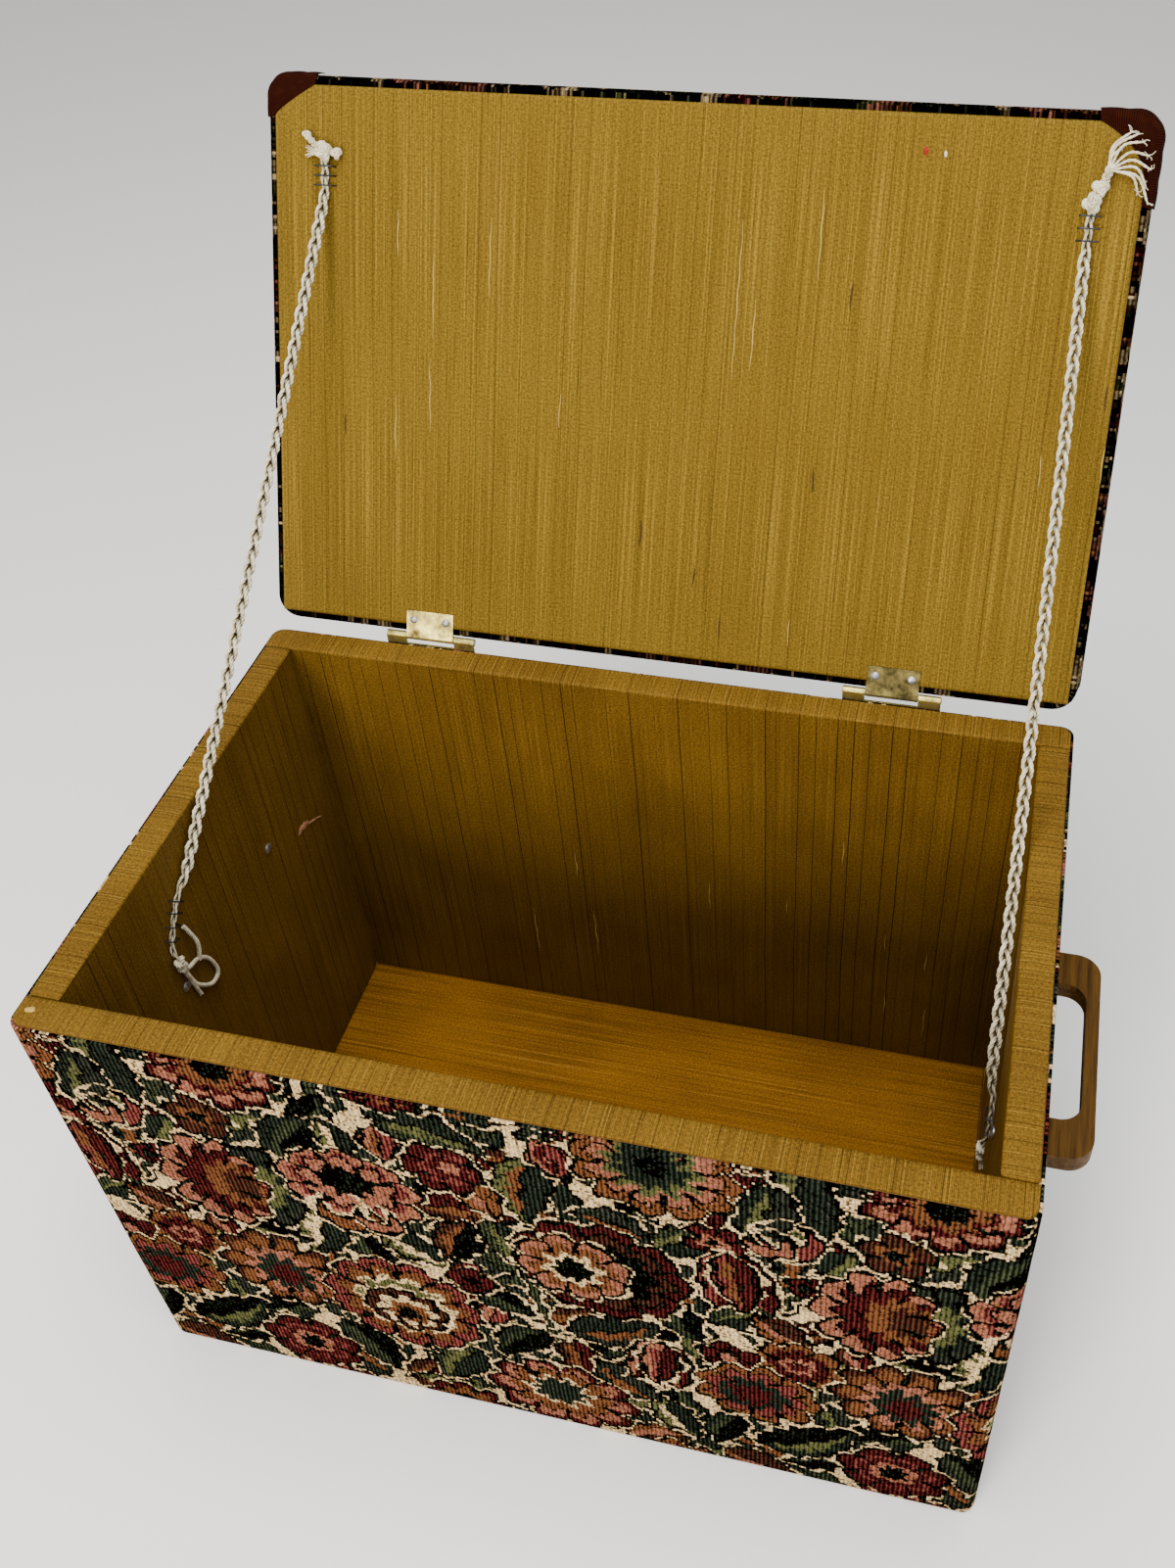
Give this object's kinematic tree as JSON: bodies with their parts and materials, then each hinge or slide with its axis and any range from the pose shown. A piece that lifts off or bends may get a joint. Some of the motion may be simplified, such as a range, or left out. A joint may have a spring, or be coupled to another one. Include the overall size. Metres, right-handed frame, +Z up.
{
  "type": "storage ottoman",
  "caption": "Rectangular fabric covered storage ottoman with a padded lid on two brass hinges, plaited stay cords, a gold lining and wooden end handles",
  "frame": {"origin": "Centre of the underside of the box, in the plane that rests on the floor", "axes": "X runs to the right along the width, Y to the back where the hinges are, Z up; the lid stands open at rest"},
  "size_m": [0.584, 0.4997, 0.6426],
  "materials": {
    "board": "bare plywood",
    "lining": "gold slub cloth",
    "tapestry": "floral jacquard tapestry",
    "corner_cloth": "back of the tapestry, folded",
    "dust_cloth": "black underside cloth",
    "wadding": "cotton wadding",
    "handle_wood": "brown varnish, worn satin",
    "hinge_brass": "dull plated brass",
    "steel": "bright steel",
    "staple_wire": "dark steel wire",
    "cord_cotton": "plaited cotton"
  },
  "bodies": {
    "box": {"front_board": "board", "back_board": "board", "left_board": "board", "right_board": "board", "bottom_board": "board", "front_lining": "lining", "back_lining": "lining", "left_lining": "lining", "right_lining": "lining", "floor_panel": "lining", "front_cover": "tapestry", "back_cover": "tapestry", "left_cover": "tapestry", "right_cover": "tapestry", "dust_cover": "dust_cloth", "corner_screws": "steel", "bottom_pins": "steel", "left_handle": "handle_wood", "right_handle": "handle_wood", "handle_screws": "steel", "left_hinge_box_leaf": "hinge_brass", "right_hinge_box_leaf": "hinge_brass", "left_hinge_pin": "hinge_brass", "right_hinge_pin": "hinge_brass", "box_leaf_screws": "steel", "left_stay_cord": "cord_cotton", "right_stay_cord": "cord_cotton", "wall_staples": "staple_wire", "left_wall_knot": "cord_cotton", "right_wall_knot": "cord_cotton"},
    "lid": {"lid_board": "board", "lid_padding": "wadding", "lid_cover": "tapestry", "lid_lining": "lining", "left_corner_fold": "corner_cloth", "right_corner_fold": "corner_cloth", "left_hinge_lid_leaf": "hinge_brass", "right_hinge_lid_leaf": "hinge_brass", "lid_leaf_screws": "steel", "lid_staples": "staple_wire", "left_lid_knot": "cord_cotton", "right_lid_knot": "cord_cotton"}
  },
  "joints": [
    {"name": "lid_hinge", "type": "hinge", "parent": "box", "child": "lid", "pos_m": [0, 0.1675, 0.339], "axis": [1, 0, 0], "range_deg": [0, 115.4], "deforming": ["left_stay_cord", "right_stay_cord"]}
  ]
}
